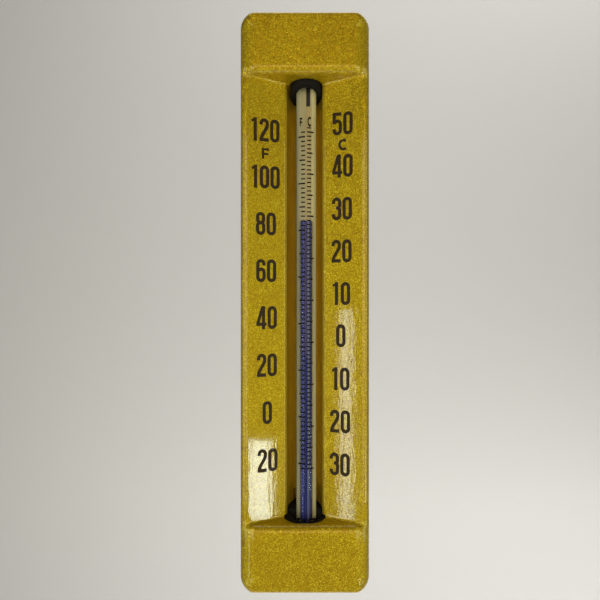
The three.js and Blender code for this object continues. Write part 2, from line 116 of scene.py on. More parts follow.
def surface_net(name, field, xs, ys, zs, steps=5):
    """Closed mesh where field(x, y, z) is 0, negative inside, on a grid of the given lines, with normals from the field."""
    v = np.empty((len(xs), len(ys), len(zs)), np.float32)
    Y, Z = np.meshgrid(ys, zs, indexing="ij")
    for i, x in enumerate(xs):
        v[i] = field(np.full(Y.shape, x), Y, Z)
    v[v == 0] = 1e-6
    ins = v < 0
    count = np.zeros([n - 1 for n in v.shape], np.int8)
    for i, j, k in CORNERS:
        count += ins[
            i : i + count.shape[0], j : j + count.shape[1], k : k + count.shape[2]
        ]
    cells = np.argwhere((count > 0) & (count < 8))
    ids = np.full(count.shape, -1, np.int64)
    ids[tuple(cells.T)] = np.arange(len(cells))
    cv = np.stack([v[tuple((cells + c).T)] for c in CORNERS], 1).astype(float)
    lines = (xs, ys, zs)
    cp = np.stack(
        [
            np.stack([lines[a][cells[:, a] + c[a]] for a in range(3)], 1)
            for c in CORNERS
        ],
        1,
    )
    total = np.zeros((len(cells), 3))
    hits = np.zeros(len(cells))
    for a, b in EDGES:
        m = (cv[:, a] < 0) != (cv[:, b] < 0)
        t = np.where(m, cv[:, a] / np.where(m, cv[:, a] - cv[:, b], 1), 0)
        p = cp[:, a] + (cp[:, b] - cp[:, a]) * t[:, None]
        total += np.where(m[:, None], p, 0)
        hits += m
    p = total / hits[:, None]
    lo, hi = cp[:, 0], cp[:, 7]

    def gradient(q, e=0.01):
        g = np.empty_like(q)
        for a in range(3):
            d = np.zeros(3)
            d[a] = e
            g[:, a] = (field(*(q + d).T) - field(*(q - d).T)) / (2 * e)
        return g

    pad = (hi - lo) * 0.25
    for _ in range(steps):
        g = gradient(p)
        f = field(*p.T)
        p = p - g * (f / np.maximum((g * g).sum(1), 0.1))[:, None]
        p = np.clip(p, lo - pad, hi + pad)
    g = gradient(p, 0.03)
    normals = g / np.maximum(np.linalg.norm(g, axis=1), 1e-9)[:, None]
    quads = []
    for axis in range(3):
        o1, o2 = [(1, 2), (2, 0), (0, 1)][axis]
        a = np.take(ins, range(0, v.shape[axis] - 1), axis)
        b = np.take(ins, range(1, v.shape[axis]), axis)
        e = np.argwhere(a != b)
        e = e[
            (e[:, o1] > 0)
            & (e[:, o2] > 0)
            & (e[:, o1] < v.shape[o1] - 1)
            & (e[:, o2] < v.shape[o2] - 1)
        ]
        flip = ~a[tuple(e.T)]
        step1, step2 = np.zeros(3, int), np.zeros(3, int)
        step1[o1] = step2[o2] = 1
        q = np.stack(
            [
                ids[tuple((e - step1 - step2).T)],
                ids[tuple((e - step2).T)],
                ids[tuple(e.T)],
                ids[tuple((e - step1).T)],
            ],
            1,
        )
        q[flip] = q[flip][:, ::-1]
        quads.append(q)
    return make_mesh(name, p, np.concatenate(quads), normals)


def r_max(a, b, r):
    """Intersection of two solids with the edge rounded to radius r."""
    return np.minimum(-r, np.maximum(a, b)) + np.hypot(
        np.maximum(r + a, 0), np.maximum(r + b, 0)
    )


def r_min(a, b, r):
    """Union of two solids with a fillet of radius r."""
    return np.maximum(r, np.minimum(a, b)) - np.hypot(
        np.maximum(r - a, 0), np.maximum(r - b, 0)
    )


def soften(profile, r, n=3, closed=False):
    """Rounds the corners of a polyline."""
    out = []
    k = len(profile)
    for i, p in enumerate(profile):
        if not closed and i in (0, k - 1):
            out.append(p)
            continue
        p = np.array(p, float)
        a, b = np.array(profile[i - 1], float), np.array(profile[(i + 1) % k], float)
        la, lb = np.linalg.norm(a - p), np.linalg.norm(b - p)
        if la < 1e-6 or lb < 1e-6:
            continue
        u, w = (a - p) / la, (b - p) / lb
        c = float(np.clip(u @ w, -1, 1))
        if c < -0.97:
            out.append(tuple(p))
            continue
        t = min(r / math.tan(math.acos(c) / 2), la * 0.45, lb * 0.45)
        for j in range(n + 1):
            s = j / n
            q = (1 - s) ** 2 * (p + u * t) + 2 * s * (1 - s) * p + s * s * (p + w * t)
            out.append(tuple(q))
    return out


def lathe(name, profile, centre=(0, 0, 0), axis="y", seg=96, closed=False):
    """Solid of revolution from (radius, height) points along Y or Z. An open profile starts and ends on the axis."""
    verts, faces, rows = [], [], []
    for r, h in profile:
        if r < 1e-6:
            rows.append([len(verts)])
            verts.append((0, h, 0))
            continue
        rows.append(list(range(len(verts), len(verts) + seg)))
        for i in range(seg):
            a = 2 * math.pi * i / seg
            verts.append((r * math.cos(a), h, r * math.sin(a)))
    pairs = list(zip(rows, rows[1:])) + ([(rows[-1], rows[0])] if closed else [])
    for a, b in pairs:
        for i in range(seg):
            j = (i + 1) % seg
            f = [a[i % len(a)], a[j % len(a)], b[j % len(b)], b[i % len(b)]]
            f = [q for n, q in enumerate(f) if q not in f[:n]]
            if len(f) > 2:
                faces.append(f)
    v = np.array(verts)
    if axis == "z":
        v = v[:, [0, 2, 1]] * np.array([1, -1, 1])
    v = v + np.array(centre)
    ob = make_mesh(name, v, faces)
    bpy.context.view_layer.objects.active = ob
    me = ob.data
    area = 0.0
    for f in me.polygons:
        area += f.normal.dot(f.center - Vector([c * 0.001 for c in centre])) * f.area
    if area < 0:
        me.flip_normals()
    return ob


def sharpen(ob, degrees=35):
    """Smooth shading, but a crease where faces meet at more than the angle."""
    me = ob.data
    me.polygons.foreach_set("use_smooth", [True] * len(me.polygons))
    me.set_sharp_from_angle(angle=math.radians(degrees))
    return ob


# ---------------------------------------------------------------- materials
def material(name):
    m = bpy.data.materials.new(name)
    m.use_nodes = True
    t = m.node_tree
    t.nodes.clear()
    out = t.nodes.new("ShaderNodeOutputMaterial")
    bsdf = t.nodes.new("ShaderNodeBsdfPrincipled")
    t.links.new(bsdf.outputs[0], out.inputs[0])
    return m, t, bsdf, out


def node(t, kind, **settings):
    n = t.nodes.new(kind)
    for k, v in settings.items():
        if k in n.inputs and not hasattr(n, k):
            n.inputs[k].default_value = v
        else:
            setattr(n, k, v)
    return n


def put(n, **values):
    for k, v in values.items():
        n.inputs[k.replace("_", " ")].default_value = v
    return n


def coords(t, scale=(1, 1, 1)):
    c = node(t, "ShaderNodeTexCoord")
    m = node(t, "ShaderNodeMapping")
    m.inputs["Scale"].default_value = [1000 * s for s in scale]
    t.links.new(c.outputs["Object"], m.inputs["Vector"])
    return m.outputs[0]


def noise(t, vec, scale, detail=2.0, rough=0.5):
    n = node(t, "ShaderNodeTexNoise")
    put(n, Scale=scale, Detail=detail, Roughness=rough)
    t.links.new(vec, n.inputs["Vector"])
    return n


def ramp(t, fac, stops, mode="LINEAR"):
    n = node(t, "ShaderNodeValToRGB")
    r = n.color_ramp
    r.interpolation = mode
    while len(r.elements) < len(stops):
        r.elements.new(0.5)
    for e, (p, c) in zip(r.elements, stops):
        e.position = p
        e.color = (c, c, c, 1) if isinstance(c, (int, float)) else (*c, 1)
    t.links.new(fac, n.inputs[0])
    return n.outputs[0]


def mix(t, fac, a, b, blend="MIX"):
    n = node(t, "ShaderNodeMix", data_type="RGBA", blend_type=blend)
    for i, v in ((0, fac), (6, a), (7, b)):
        if isinstance(v, bpy.types.NodeSocket):
            t.links.new(v, n.inputs[i])
        elif i == 0:
            n.inputs[0].default_value = v
        else:
            n.inputs[i].default_value = (*v, 1)
    return n.outputs[2]


def maths(t, op, a, b=0.0, c=0.0):
    n = node(t, "ShaderNodeMath", operation=op)
    for i, v in enumerate((a, b, c)):
        if isinstance(v, bpy.types.NodeSocket):
            t.links.new(v, n.inputs[i])
        else:
            n.inputs[i].default_value = v
    return n.outputs[0]


def bump(t, height, strength, distance, normal=None):
    n = node(t, "ShaderNodeBump")
    put(n, Strength=strength, Distance=distance)
    t.links.new(height, n.inputs["Height"])
    if normal is not None:
        t.links.new(normal, n.inputs["Normal"])
    return n.outputs[0]


def srgb(r, g, b):
    return tuple(
        (c / 255 / 12.92) if c / 255 <= 0.04045 else ((c / 255 + 0.055) / 1.055) ** 2.4
        for c in (r, g, b)
    )


def lacquer(name="gold_flake_lacquer"):
    """Gold lacquer full of metal flakes, under a clear coat, over a die casting."""
    m, t, b, _ = material(name)
    at = coords(t)
    flake = node(t, "ShaderNodeTexVoronoi")
    put(flake, Scale=4.3, Randomness=1.0)
    t.links.new(at, flake.inputs["Vector"])
    fine = node(t, "ShaderNodeTexVoronoi")
    put(fine, Scale=8.5, Randomness=1.0)
    t.links.new(at, fine.inputs["Vector"])
    sep = node(t, "ShaderNodeSeparateColor")
    t.links.new(flake.outputs["Color"], sep.inputs[0])
    sepf = node(t, "ShaderNodeSeparateColor")
    t.links.new(fine.outputs["Color"], sepf.inputs[0])
    grain = maths(t, "MULTIPLY_ADD", sepf.outputs[0], 0.35, 0.0)
    grain = maths(t, "MULTIPLY_ADD", sep.outputs[0], 0.65, grain)
    base = ramp(
        t,
        grain,
        [
            (0.10, (0.41, 0.240, 0.001)),
            (0.48, (0.55, 0.365, 0.002)),
            (0.70, (0.66, 0.480, 0.004)),
            (0.90, (0.90, 0.780, 0.045)),
        ],
    )
    cloud = noise(t, at, 0.12, 4, 0.6)
    tint = ramp(t, cloud.outputs[0], [(0.35, (0.93, 0.90, 0.80)), (0.65, (1, 1, 1))])
    base = mix(t, 1.0, base, tint, "MULTIPLY")
    # handling marks: small darker specks where the film is thin
    speck = noise(t, at, 1.1, 3, 0.7)
    mask = ramp(t, speck.outputs[0], [(0.70, 0.0), (0.76, 1.0)])
    base = mix(t, maths(t, "MULTIPLY", mask, 0.35), base, (0.20, 0.12, 0.02))
    # the channel walls: a browner colour with hardly any flake, drawn out in upright streaks, smoother than the faces
    # outside; its lighter base is painted light that lifts the shade in the deep channel
    place = node(t, "ShaderNodeTexCoord")
    axes = node(t, "ShaderNodeSeparateXYZ")
    t.links.new(place.outputs["Object"], axes.inputs[0])
    inside = maths(t, "SUBTRACT", 5.55, maths(t, "MULTIPLY", maths(t, "ABSOLUTE", axes.outputs[0]), 1000))
    deep = maths(t, "SUBTRACT", maths(t, "MULTIPLY", axes.outputs[1], 1000), FRONT + 6.1)
    deep = maths(t, "MINIMUM", deep, maths(t, "SUBTRACT", 8.2, deep))
    wall = ramp(t, maths(t, "MINIMUM", inside, deep), [(0.0, 0.0), (0.5, 1.0)])
    # painted light: the channel's base is set lighter than the faces outside, to lift the shade of the deep slot
    streak = noise(t, coords(t, (1, 1, 0.06)), 1.6, 3, 0.6)
    channel_brown_painted_light = ramp(t, streak.outputs[0], [(0.3, (0.60, 0.41, 0.012)), (0.7, (0.82, 0.60, 0.040))])
    base = mix(t, maths(t, "MULTIPLY", wall, 0.92), base, channel_brown_painted_light)
    t.links.new(base, b.inputs["Base Color"])
    # each flake lies at its own small angle
    geo = node(t, "ShaderNodeNewGeometry")
    offset = node(t, "ShaderNodeVectorMath", operation="SUBTRACT")
    t.links.new(flake.outputs["Color"], offset.inputs[0])
    offset.inputs[1].default_value = (0.5, 0.5, 0.5)
    offset2 = node(t, "ShaderNodeVectorMath", operation="SUBTRACT")
    t.links.new(fine.outputs["Color"], offset2.inputs[0])
    offset2.inputs[1].default_value = (0.5, 0.5, 0.5)
    s1 = node(t, "ShaderNodeVectorMath", operation="SCALE")
    t.links.new(offset.outputs[0], s1.inputs[0])
    s1.inputs["Scale"].default_value = 0.34
    s2 = node(t, "ShaderNodeVectorMath", operation="MULTIPLY_ADD")
    t.links.new(offset2.outputs[0], s2.inputs[0])
    s2.inputs[1].default_value = (0.42, 0.42, 0.42)
    t.links.new(s1.outputs[0], s2.inputs[2])
    less = node(t, "ShaderNodeVectorMath", operation="SCALE")
    t.links.new(s2.outputs[0], less.inputs[0])
    t.links.new(maths(t, "MULTIPLY_ADD", wall, -0.88, 1.0), less.inputs["Scale"])
    add = node(t, "ShaderNodeVectorMath", operation="ADD")
    t.links.new(less.outputs[0], add.inputs[0])
    t.links.new(geo.outputs["Normal"], add.inputs[1])
    norm = node(t, "ShaderNodeVectorMath", operation="NORMALIZE")
    t.links.new(add.outputs[0], norm.inputs[0])
    t.links.new(norm.outputs[0], b.inputs["Normal"])
    rough = ramp(t, sep.outputs[1], [(0.0, 0.30), (1.0, 0.50)])
    t.links.new(rough, b.inputs["Roughness"])
    put(b, Metallic=0.55, Specular_IOR_Level=0.2, Coat_Weight=0.8, Coat_Roughness=0.05, Coat_IOR=1.5)
    peel = noise(t, coords(t, (1, 1, 0.3)), 0.8, 3, 0.55)
    t.links.new(bump(t, peel.outputs[0], 0.10, 0.00012), b.inputs["Coat Normal"])
    return m


def ink():
    m, t, b, _ = material("scale_ink")
    at = coords(t)
    n = noise(t, at, 2.6, 4, 0.65)
    col = ramp(
        t,
        n.outputs[0],
        [
            (0.28, (0.026, 0.014, 0.003)),
            (0.62, (0.048, 0.029, 0.006)),
            (0.80, (0.080, 0.050, 0.012)),
        ],
    )
    t.links.new(col, b.inputs["Base Color"])
    t.links.new(
        ramp(t, n.outputs[0], [(0.3, 0.42), (0.7, 0.6)]), b.inputs["Roughness"]
    )
    t.links.new(bump(t, n.outputs[0], 0.3, 0.00005), b.inputs["Normal"])
    put(b, Specular_IOR_Level=0.22)
    return m


def tube_ink():
    m, t, b, _ = material("tube_ink")
    at = coords(t)
    n = noise(t, at, 7.0, 3, 0.6)
    col = ramp(
        t, n.outputs[0], [(0.35, (0.008, 0.007, 0.006)), (0.75, (0.035, 0.03, 0.022))]
    )
    t.links.new(col, b.inputs["Base Color"])
    put(b, Roughness=0.7, Specular_IOR_Level=0.12)
    return m


def rubber():
    m, t, b, _ = material("black_rubber")
    at = coords(t)
    n = noise(t, at, 3.0, 5, 0.65)
    col = ramp(
        t,
        n.outputs[0],
        [(0.3, (0.005, 0.005, 0.004)), (0.7, (0.012, 0.011, 0.009))],
    )
    t.links.new(col, b.inputs["Base Color"])
    t.links.new(
        ramp(t, n.outputs[0], [(0.3, 0.55), (0.75, 0.8)]), b.inputs["Roughness"]
    )
    t.links.new(bump(t, n.outputs[0], 0.5, 0.00012), b.inputs["Normal"])
    put(b, Specular_IOR_Level=0.16)
    return m


def turned_metal(name, low, high, rough=(0.22, 0.38), lines=9.0, tarnish=0.35):
    """Metal turned about Y: fine lines round the axis and a patchy film."""
    m, t, b, _ = material(name)
    at = coords(t, (0.12, 1, 0.12))
    n = noise(t, at, lines, 3, 0.6)
    patch = noise(t, coords(t), 0.22, 5, 0.6)
    base = ramp(t, n.outputs[0], [(0.3, low), (0.7, high)])
    film = ramp(t, patch.outputs[0], [(0.42, 0.0), (0.72, tarnish)])
    dull = tuple(c * 0.42 for c in low)
    base = mix(t, film, base, dull)
    t.links.new(base, b.inputs["Base Color"])
    spread = maths(t, "MULTIPLY", film, 0.5)
    t.links.new(
        maths(
            t, "ADD", ramp(t, n.outputs[0], [(0.25, rough[0]), (0.8, rough[1])]), spread
        ),
        b.inputs["Roughness"],
    )
    t.links.new(bump(t, n.outputs[0], 0.35, 0.00003), b.inputs["Normal"])
    put(b, Metallic=1.0)
    return m


def opal():
    """Cream opal glass behind the bore, seen through the front of the tube, with painted light across it: lighter side
    bands, a warm painted highlight of the empty bore and darker painted shade at the edges.
    """
    m, t, b, _ = material("cream_opal_glass")
    c = node(t, "ShaderNodeTexCoord")
    sep = node(t, "ShaderNodeSeparateXYZ")
    t.links.new(c.outputs["Object"], sep.inputs[0])
    across = maths(
        t,
        "MULTIPLY_ADD",
        maths(t, "SUBTRACT", sep.outputs[0], TUBE_X * 0.001),
        1000 / 5.8,
        0.5,
    )
    # painted light across the tube: the lighter bands near both sides, brightest on the right, lift the shade of the
    # deep channel; the warm band just right of centre is a painted highlight of the empty bore; the outermost edges are
    # slightly darker painted shade
    cream_painted_light = ramp(
        t,
        across,
        [
            (0.02, srgb(186, 180, 144)),
            (0.10, srgb(212, 206, 172)),
            (0.24, srgb(196, 188, 146)),
            (0.34, srgb(196, 186, 140)),
            (0.56, srgb(194, 180, 132)),
            (0.590, srgb(222, 186, 122)),
            (0.625, srgb(222, 188, 124)),
            (0.655, srgb(196, 182, 132)),
            (0.74, srgb(206, 194, 142)),
            (0.82, srgb(248, 236, 176)),
            (0.93, srgb(250, 238, 178)),
            (0.98, srgb(226, 210, 148)),
        ],
    )
    wave = noise(t, coords(t, (1, 1, 0.15)), 1.2, 3, 0.5)
    cream_painted_light = mix(
        t,
        1.0,
        cream_painted_light,
        ramp(t, wave.outputs[0], [(0.3, (0.9, 0.9, 0.9)), (0.7, (1, 1, 1))]),
        "MULTIPLY",
    )
    # painted refraction: the black rubber cap seen through the top of the bore, painted as a dark patch on the cream
    high = ramp(
        t,
        maths(t, "MULTIPLY_ADD", sep.outputs[2], 1000 / 3, -126.4 / 3),
        [(0.0, 0.0), (0.12, 1.0)],
    )
    near = ramp(
        t,
        across,
        [(0.48, 0.0), (0.51, 1.0), (0.68, 1.0), (0.71, 0.0)],
    )
    cream_painted_light = mix(t, maths(t, "MULTIPLY", high, near), cream_painted_light, (0.02, 0.02, 0.018))
    t.links.new(cream_painted_light, b.inputs["Base Color"])
    put(b, Roughness=0.35, Specular_IOR_Level=0.3)
    return m


def spirit():
    """Blue spirit. The round glass spreads the thread into bands, painted in: the lighter stripes are painted
    highlights and the darker edges painted shade.
    """
    m, t, b, _ = material("blue_spirit")
    c = node(t, "ShaderNodeTexCoord")
    sep = node(t, "ShaderNodeSeparateXYZ")
    t.links.new(c.outputs["Object"], sep.inputs[0])
    wave = noise(t, coords(t, (1, 1, 0.05)), 0.5, 2, 0.5)
    across = maths(
        t,
        "MULTIPLY_ADD",
        maths(t, "SUBTRACT", sep.outputs[0], TUBE_X * 0.001),
        1000 / 3.6,
        0.5,
    )
    across = maths(
        t,
        "ADD",
        across,
        maths(t, "MULTIPLY_ADD", wave.outputs[0], 0.04, -0.02),
    )
    # painted highlight: the lighter stripes in the blue stand for highlights on the round glass, and the darker edges
    # are painted shade
    col = ramp(
        t,
        across,
        [
            (0.03, (0.020, 0.024, 0.075)),
            (0.12, (0.026, 0.036, 0.19)),
            (0.25, (0.060, 0.080, 0.38)),
            (0.36, (0.018, 0.024, 0.15)),
            (0.46, (0.040, 0.050, 0.27)),
            (0.56, (0.012, 0.016, 0.11)),
            (0.64, (0.20, 0.22, 0.40)),
            (0.72, (0.10, 0.11, 0.24)),
            (0.84, (0.030, 0.038, 0.16)),
            (0.97, (0.016, 0.018, 0.06)),
        ],
    )
    t.links.new(col, b.inputs["Base Color"])
    put(b, Roughness=0.3, Specular_IOR_Level=0.15)
    return m


def clear_glass():
    """Thin clear wall: reflects by Fresnel, and darkens a little towards its edges."""
    m = bpy.data.materials.new("clear_glass")
    m.use_nodes = True
    t = m.node_tree
    t.nodes.clear()
    out = t.nodes.new("ShaderNodeOutputMaterial")
    through = t.nodes.new("ShaderNodeBsdfTransparent")
    gloss = t.nodes.new("ShaderNodeBsdfPrincipled")
    put(gloss, Base_Color=(0.9, 0.93, 0.9, 1), Metallic=1.0, Roughness=0.04)
    edge = t.nodes.new("ShaderNodeLayerWeight")
    edge.inputs["Blend"].default_value = 0.35
    tint = ramp(
        t,
        edge.outputs["Facing"],
        [(0.0, (1, 1, 1)), (0.55, (0.97, 0.98, 0.96)), (0.93, (0.50, 0.53, 0.46))],
    )
    t.links.new(tint, through.inputs["Color"])
    fres = t.nodes.new("ShaderNodeFresnel")
    fres.inputs["IOR"].default_value = 1.52
    ripple = noise(t, coords(t, (1, 1, 0.05)), 0.8, 2, 0.5)
    nrm = bump(t, ripple.outputs[0], 0.15, 0.0001)
    t.links.new(nrm, gloss.inputs["Normal"])
    blend = t.nodes.new("ShaderNodeMixShader")
    t.links.new(maths(t, "MULTIPLY", fres.outputs[0], 0.5), blend.inputs[0])
    t.links.new(through.outputs[0], blend.inputs[1])
    t.links.new(gloss.outputs[0], blend.inputs[2])
    t.links.new(blend.outputs[0], out.inputs[0])
    return m


def fibre():
    m, t, b, _ = material("packing_fibre")
    at = coords(t)
    n = noise(t, at, 4.0, 4, 0.6)
    t.links.new(
        ramp(t, n.outputs[0], [(0.3, (0.36, 0.33, 0.26)), (0.7, (0.6, 0.57, 0.48))]),
        b.inputs["Base Color"],
    )
    t.links.new(bump(t, n.outputs[0], 0.6, 0.0002), b.inputs["Normal"])
    put(b, Roughness=0.9)
    return m


GOLD = lacquer()
INK = ink()
TUBE_INK = tube_ink()
RUBBER = rubber()
BRASS = turned_metal("turned_brass", (0.60, 0.42, 0.14), (0.78, 0.58, 0.24))
NUT_BRASS = turned_metal(
    "nut_brass", (0.56, 0.40, 0.13), (0.74, 0.56, 0.24), (0.25, 0.42), 5.0, 0.4
)
ZINC = turned_metal(
    "zinc_steel", (0.52, 0.53, 0.55), (0.70, 0.70, 0.70), (0.25, 0.4), 6.0, 0.3
)
SPRING_STEEL = turned_metal(
    "spring_steel", (0.20, 0.20, 0.21), (0.34, 0.34, 0.35), (0.3, 0.5), 5.0, 0.5
)
OPAL = opal()
SPIRIT = spirit()
GLASS = clear_glass()
FIBRE = fibre()


def dress(ob, mat):
    ob.data.materials.clear()
    ob.data.materials.append(mat)
    return ob


def keep(name, mat, degrees=35):
    """A CAD node whose shape is right, given a new finish."""
    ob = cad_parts[name]
    if ob.material_slots:
        for s in ob.material_slots:
            s.material = mat
    else:
        ob.data.materials.append(mat)
    return ob


def piece(ob, mat, body, slot, *nodes):
    dress(ob, mat)
    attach(ob, body)
    if nodes:
        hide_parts(*nodes)
    return ob


# ---------------------------------------------------------------- the case
def v_material(ax, d):
    """Signed distance to the casting's V section, without its end blocks."""
    rim = 1.2 - d
    face = (V_OUT_D + (V_OUT - ax) * V_SLOPE - d) * V_COS
    front = r_max(rim, face, 0.22)
    slot = np.where(d < 8.5, ax - 5.0, np.hypot(ax, d - 8.5) - 5.0)
    return r_max(front, -slot, 0.9)


def case_field(x, y, z):
    ax, d = np.abs(x), y - FRONT
    side, end, front, back = ax - HALF, np.abs(z - 70) - 80.5, -d, d - 26.0
    plan = r_max(side, end, 4.0)
    u, w = np.maximum(side + 4, 0), np.maximum(end + 4, 0)
    lean = u * u / np.maximum(u * u + w * w, 1e-9)
    edge = 1.1 + 3.9 * lean
    outer = r_max(plan, front * (1 + 0.6 * lean), edge)
    outer = r_max(outer, back, 0.7)
    section = v_material(ax, d)
    low = (z - (8.3 + 0.12 * (d - 1.8))) * 0.993
    high = ((133.4 - 0.2 * (d - 1.8)) - z) * 0.98
    ease = np.clip((np.abs(z - 70.85) - 56.5) / 5, 0, 1)
    f = r_max(outer, r_min(section, np.minimum(low, high), 0.55), 0.45 + 1.45 * ease)
    # bores of the two bushes and the plug
    ub = np.maximum(np.hypot(x - 0.35, d - 8.5) - 4.6, np.maximum(126 - z, z - 144.2))
    f = r_max(f, -ub, 0.3)
    pb = np.maximum(np.hypot(x, d - 8.5) - 5.5, 144.2 - z)
    f = r_max(f, -pb, 0.25)
    lb = np.maximum(
        np.hypot(x, d - 8.0) - 6.1,
        np.maximum(-4.5 - z, (z - (9.7 + 0.27 * (d - 8.0))) * 0.965),
    )
    f = r_max(f, -lb, 0.25)
    # bend pocket, spigot bore and the window above it
    rr = np.hypot(x, z)
    f = np.maximum(f, -np.maximum(rr - 8.5, np.maximum(7.8 - d, d - 16)))
    f = r_max(f, -np.maximum(rr - 7.06, 15 - d), 0.2)
    f = np.maximum(
        f,
        -np.maximum(
            np.maximum(ax - 6.4, np.abs(d - 14.3) - 1.7), np.abs(z - 9.5) - 5.5
        ),
    )
    # hollow back at an even wall, its screw pillars and the rebate of the cover
    hollow = np.maximum(
        np.maximum(section + 2.3, ax - 15.8), np.maximum(14.4 - z, z - 147.6)
    )
    f = r_max(f, -hollow, 0.5)
    px = np.hypot(ax - 11.5, np.minimum(np.abs(z - 23), np.abs(z - 139)))
    f = np.minimum(f, np.maximum(px - 3.0, np.maximum(d - 23.85, 7.5 - d)))
    f = np.maximum(f, -np.maximum(px - 1.35, 14 - d))
    qx, qz = ax - (16.7 - 3), np.abs(z - 81) - (67.8 - 3)
    rebate = np.hypot(np.maximum(qx, 0), np.maximum(qz, 0)) + np.minimum(
        np.maximum(qx, qz), 0
    )
    f = r_max(f, -np.maximum(rebate - 3, 24.0 - d), 0.2)
    return f


case = surface_net(
    "case_shell",
    case_field,
    mirrored((0, 4, 0.5), (4, 7.3, 0.3), (7.3, 14.1, 0.85), (14.1, 18.5, 0.3)),
    FRONT
    + spaced(
        (-0.5, 4, 0.3),
        (4, 8, 0.36),
        (8, 14.4, 0.53),
        (14.4, 23.1, 0.97),
        (23.1, 26.5, 0.34),
    ),
    spaced(
        (-11, -9, 0.33),
        (-9, 4, 0.8),
        (4, 12.4, 0.35),
        (12.4, 27, 0.9),
        (27, 124, 3.0),
        (124, 136.2, 0.36),
        (136.2, 148.2, 0.8),
        (148.2, 151, 0.33),
    ),
)
piece(case, GOLD, "head", "case_lacquer", "case")


def cover_field(x, y, z):
    ax, d = np.abs(x), y - FRONT
    qx, qz = ax - (16.5 - 2.9), np.abs(z - 81) - (67.6 - 2.9)
    plan = (
        np.hypot(np.maximum(qx, 0), np.maximum(qz, 0))
        + np.minimum(np.maximum(qx, qz), 0)
        - 2.9
    )
    f = r_max(plan, np.abs(d - 25.05) - 0.95, 0.3)
    px = np.hypot(ax - 11.5, np.minimum(np.abs(z - 23), np.abs(z - 139)))
    f = np.maximum(f, 1.7 - px)
    return r_max(f, -(px - 3.1 + (26 - d)) * 0.707, 0.15)


cover = surface_net(
    "rear_cover_plate",
    cover_field,
    mirrored((0, 7.8, 1.3), (7.8, 16.9, 0.3)),
    FRONT + spaced((23.7, 26.3, 0.2)),
    spaced(
        (13, 17, 0.3),
        (17, 19.4, 0.6),
        (19.4, 26.6, 0.3),
        (26.6, 135.4, 3.2),
        (135.4, 142.6, 0.3),
        (142.6, 145, 0.6),
        (145, 149, 0.3),
    ),
)
piece(cover, GOLD, "head", "case_lacquer", "rear_cover")

SCREWS = [(-11.5, 23), (11.5, 23), (-11.5, 139), (11.5, 139)]
for i, (sx, sz) in enumerate(SCREWS):
    turn = math.radians((17, 64, 38, 81)[i])
    ca, sa = math.cos(turn), math.sin(turn)

    def screw_field(x, y, z, sx=sx, sz=sz, ca=ca, sa=sa):
        u, w, h = x - sx, z - sz, y - (BACK - 0.03)
        r = np.hypot(u, w)
        cone = (r - 2.85 - h) * 0.707
        dome = np.hypot(r, h + 9.0) - 9.0
        head = np.maximum(np.maximum(cone, dome), r - 2.8)
        shank = np.maximum(r - 1.2, np.maximum(h + 1.0, -9.5 - h))
        f = np.minimum(head, shank)
        a, b = np.abs(u * ca + w * sa), np.abs(-u * sa + w * ca)
        taper = 0.12 * (h + 1.2)
        cross = np.maximum(np.minimum(np.maximum(a - 0.34 - taper, b - 1.75 - taper), np.maximum(b - 0.34 - taper, a - 1.75 - taper)), -1.25 - h)
        return r_max(f, -cross, 0.06)

    s = surface_net(
        f"cover_screw_head_{i + 1}",
        screw_field,
        sx + mirrored((0, 3.1, 0.14)),
        BACK + spaced((-9.8, -2.9, 0.7), (-2.9, 0.3, 0.14)),
        sz + mirrored((0, 3.1, 0.14)),
    )
    piece(s, ZINC, "head", "screw_steel", f"cover_screw_{i + 1}")

# ---------------------------------------------------------------- rubber bushes and plug
def upper_bush_field(x, y, z):
    d = y - FRONT
    r = np.hypot(x - 0.35, d - 8.5)
    f = r_max(r - 4.45, (129.3 - 0.55 * (d - 8.5) - z) * 0.876, 0.35)
    f = np.maximum(f, z - 138.4)
    return np.maximum(
        f, -np.maximum(np.hypot(x - TUBE_X, d - 8.5) - (TUBE_R + 0.06), z - 136.3)
    )


bush = surface_net(
    "upper_bush_rubber",
    upper_bush_field,
    0.35 + mirrored((0, 4.8, 0.2)),
    TUBE_Y + mirrored((0, 4.8, 0.2)),
    spaced((126, 133, 0.2), (133, 138.8, 0.6)),
)
piece(bush, RUBBER, "head", "bush_rubber", "upper_bush")


def lower_bush_field(x, y, z):
    d = y - FRONT
    r = np.hypot(x, d - 8.0)
    f = r_max(r - 5.98, (z - (9.55 + 0.27 * (d - 8.0))) * 0.965, 0.35)
    # it stands up against the round back of the channel
    back = r_max(np.hypot(x, d - 8.5) - 4.93, (z - (10.39 + 0.44 * (d - 8.0))) * 0.915, 0.3)
    f = np.minimum(f, back)
    f = np.maximum(f, np.maximum(7.35 - z, d - 14.02))
    # the mouth is cut away in front of the tube
    mouth = np.maximum(np.hypot(x - TUBE_X, d - 8.5) - 5.0, np.maximum(7.75 - z, d - 8.2))
    f = r_max(f, -mouth, 0.2)
    return np.maximum(f, (TUBE_R + 0.06) - np.hypot(x - TUBE_X, d - 8.5))


grommet = surface_net(
    "lower_bush_rubber",
    lower_bush_field,
    mirrored((0, 6.3, 0.21)),
    FRONT + spaced((1.6, 14.4, 0.21)),
    spaced((7.0, 13.6, 0.2)),
)
piece(grommet, RUBBER, "head", "bush_rubber", "lower_bush")


def plug_field(x, y, z):
    r = np.hypot(x, y - TUBE_Y)
    f = r_max(r - 5.38, np.abs(z - 147.35) - 3.05, 0.25)
    slot = np.maximum(np.abs(y - TUBE_Y) - 0.7, 148.8 - z)
    return r_max(f, -slot, 0.12)


plug = surface_net(
    "top_plug_screw",
    plug_field,
    mirrored((0, 5.7, 0.25)),
    TUBE_Y + mirrored((0, 1.2, 0.15), (1.2, 5.7, 0.25)),
    spaced((144, 144.8, 0.2), (144.8, 148.4, 0.6), (148.4, 150.7, 0.15)),
)
piece(plug, NUT_BRASS, "head", "nut_brass", "top_plug")

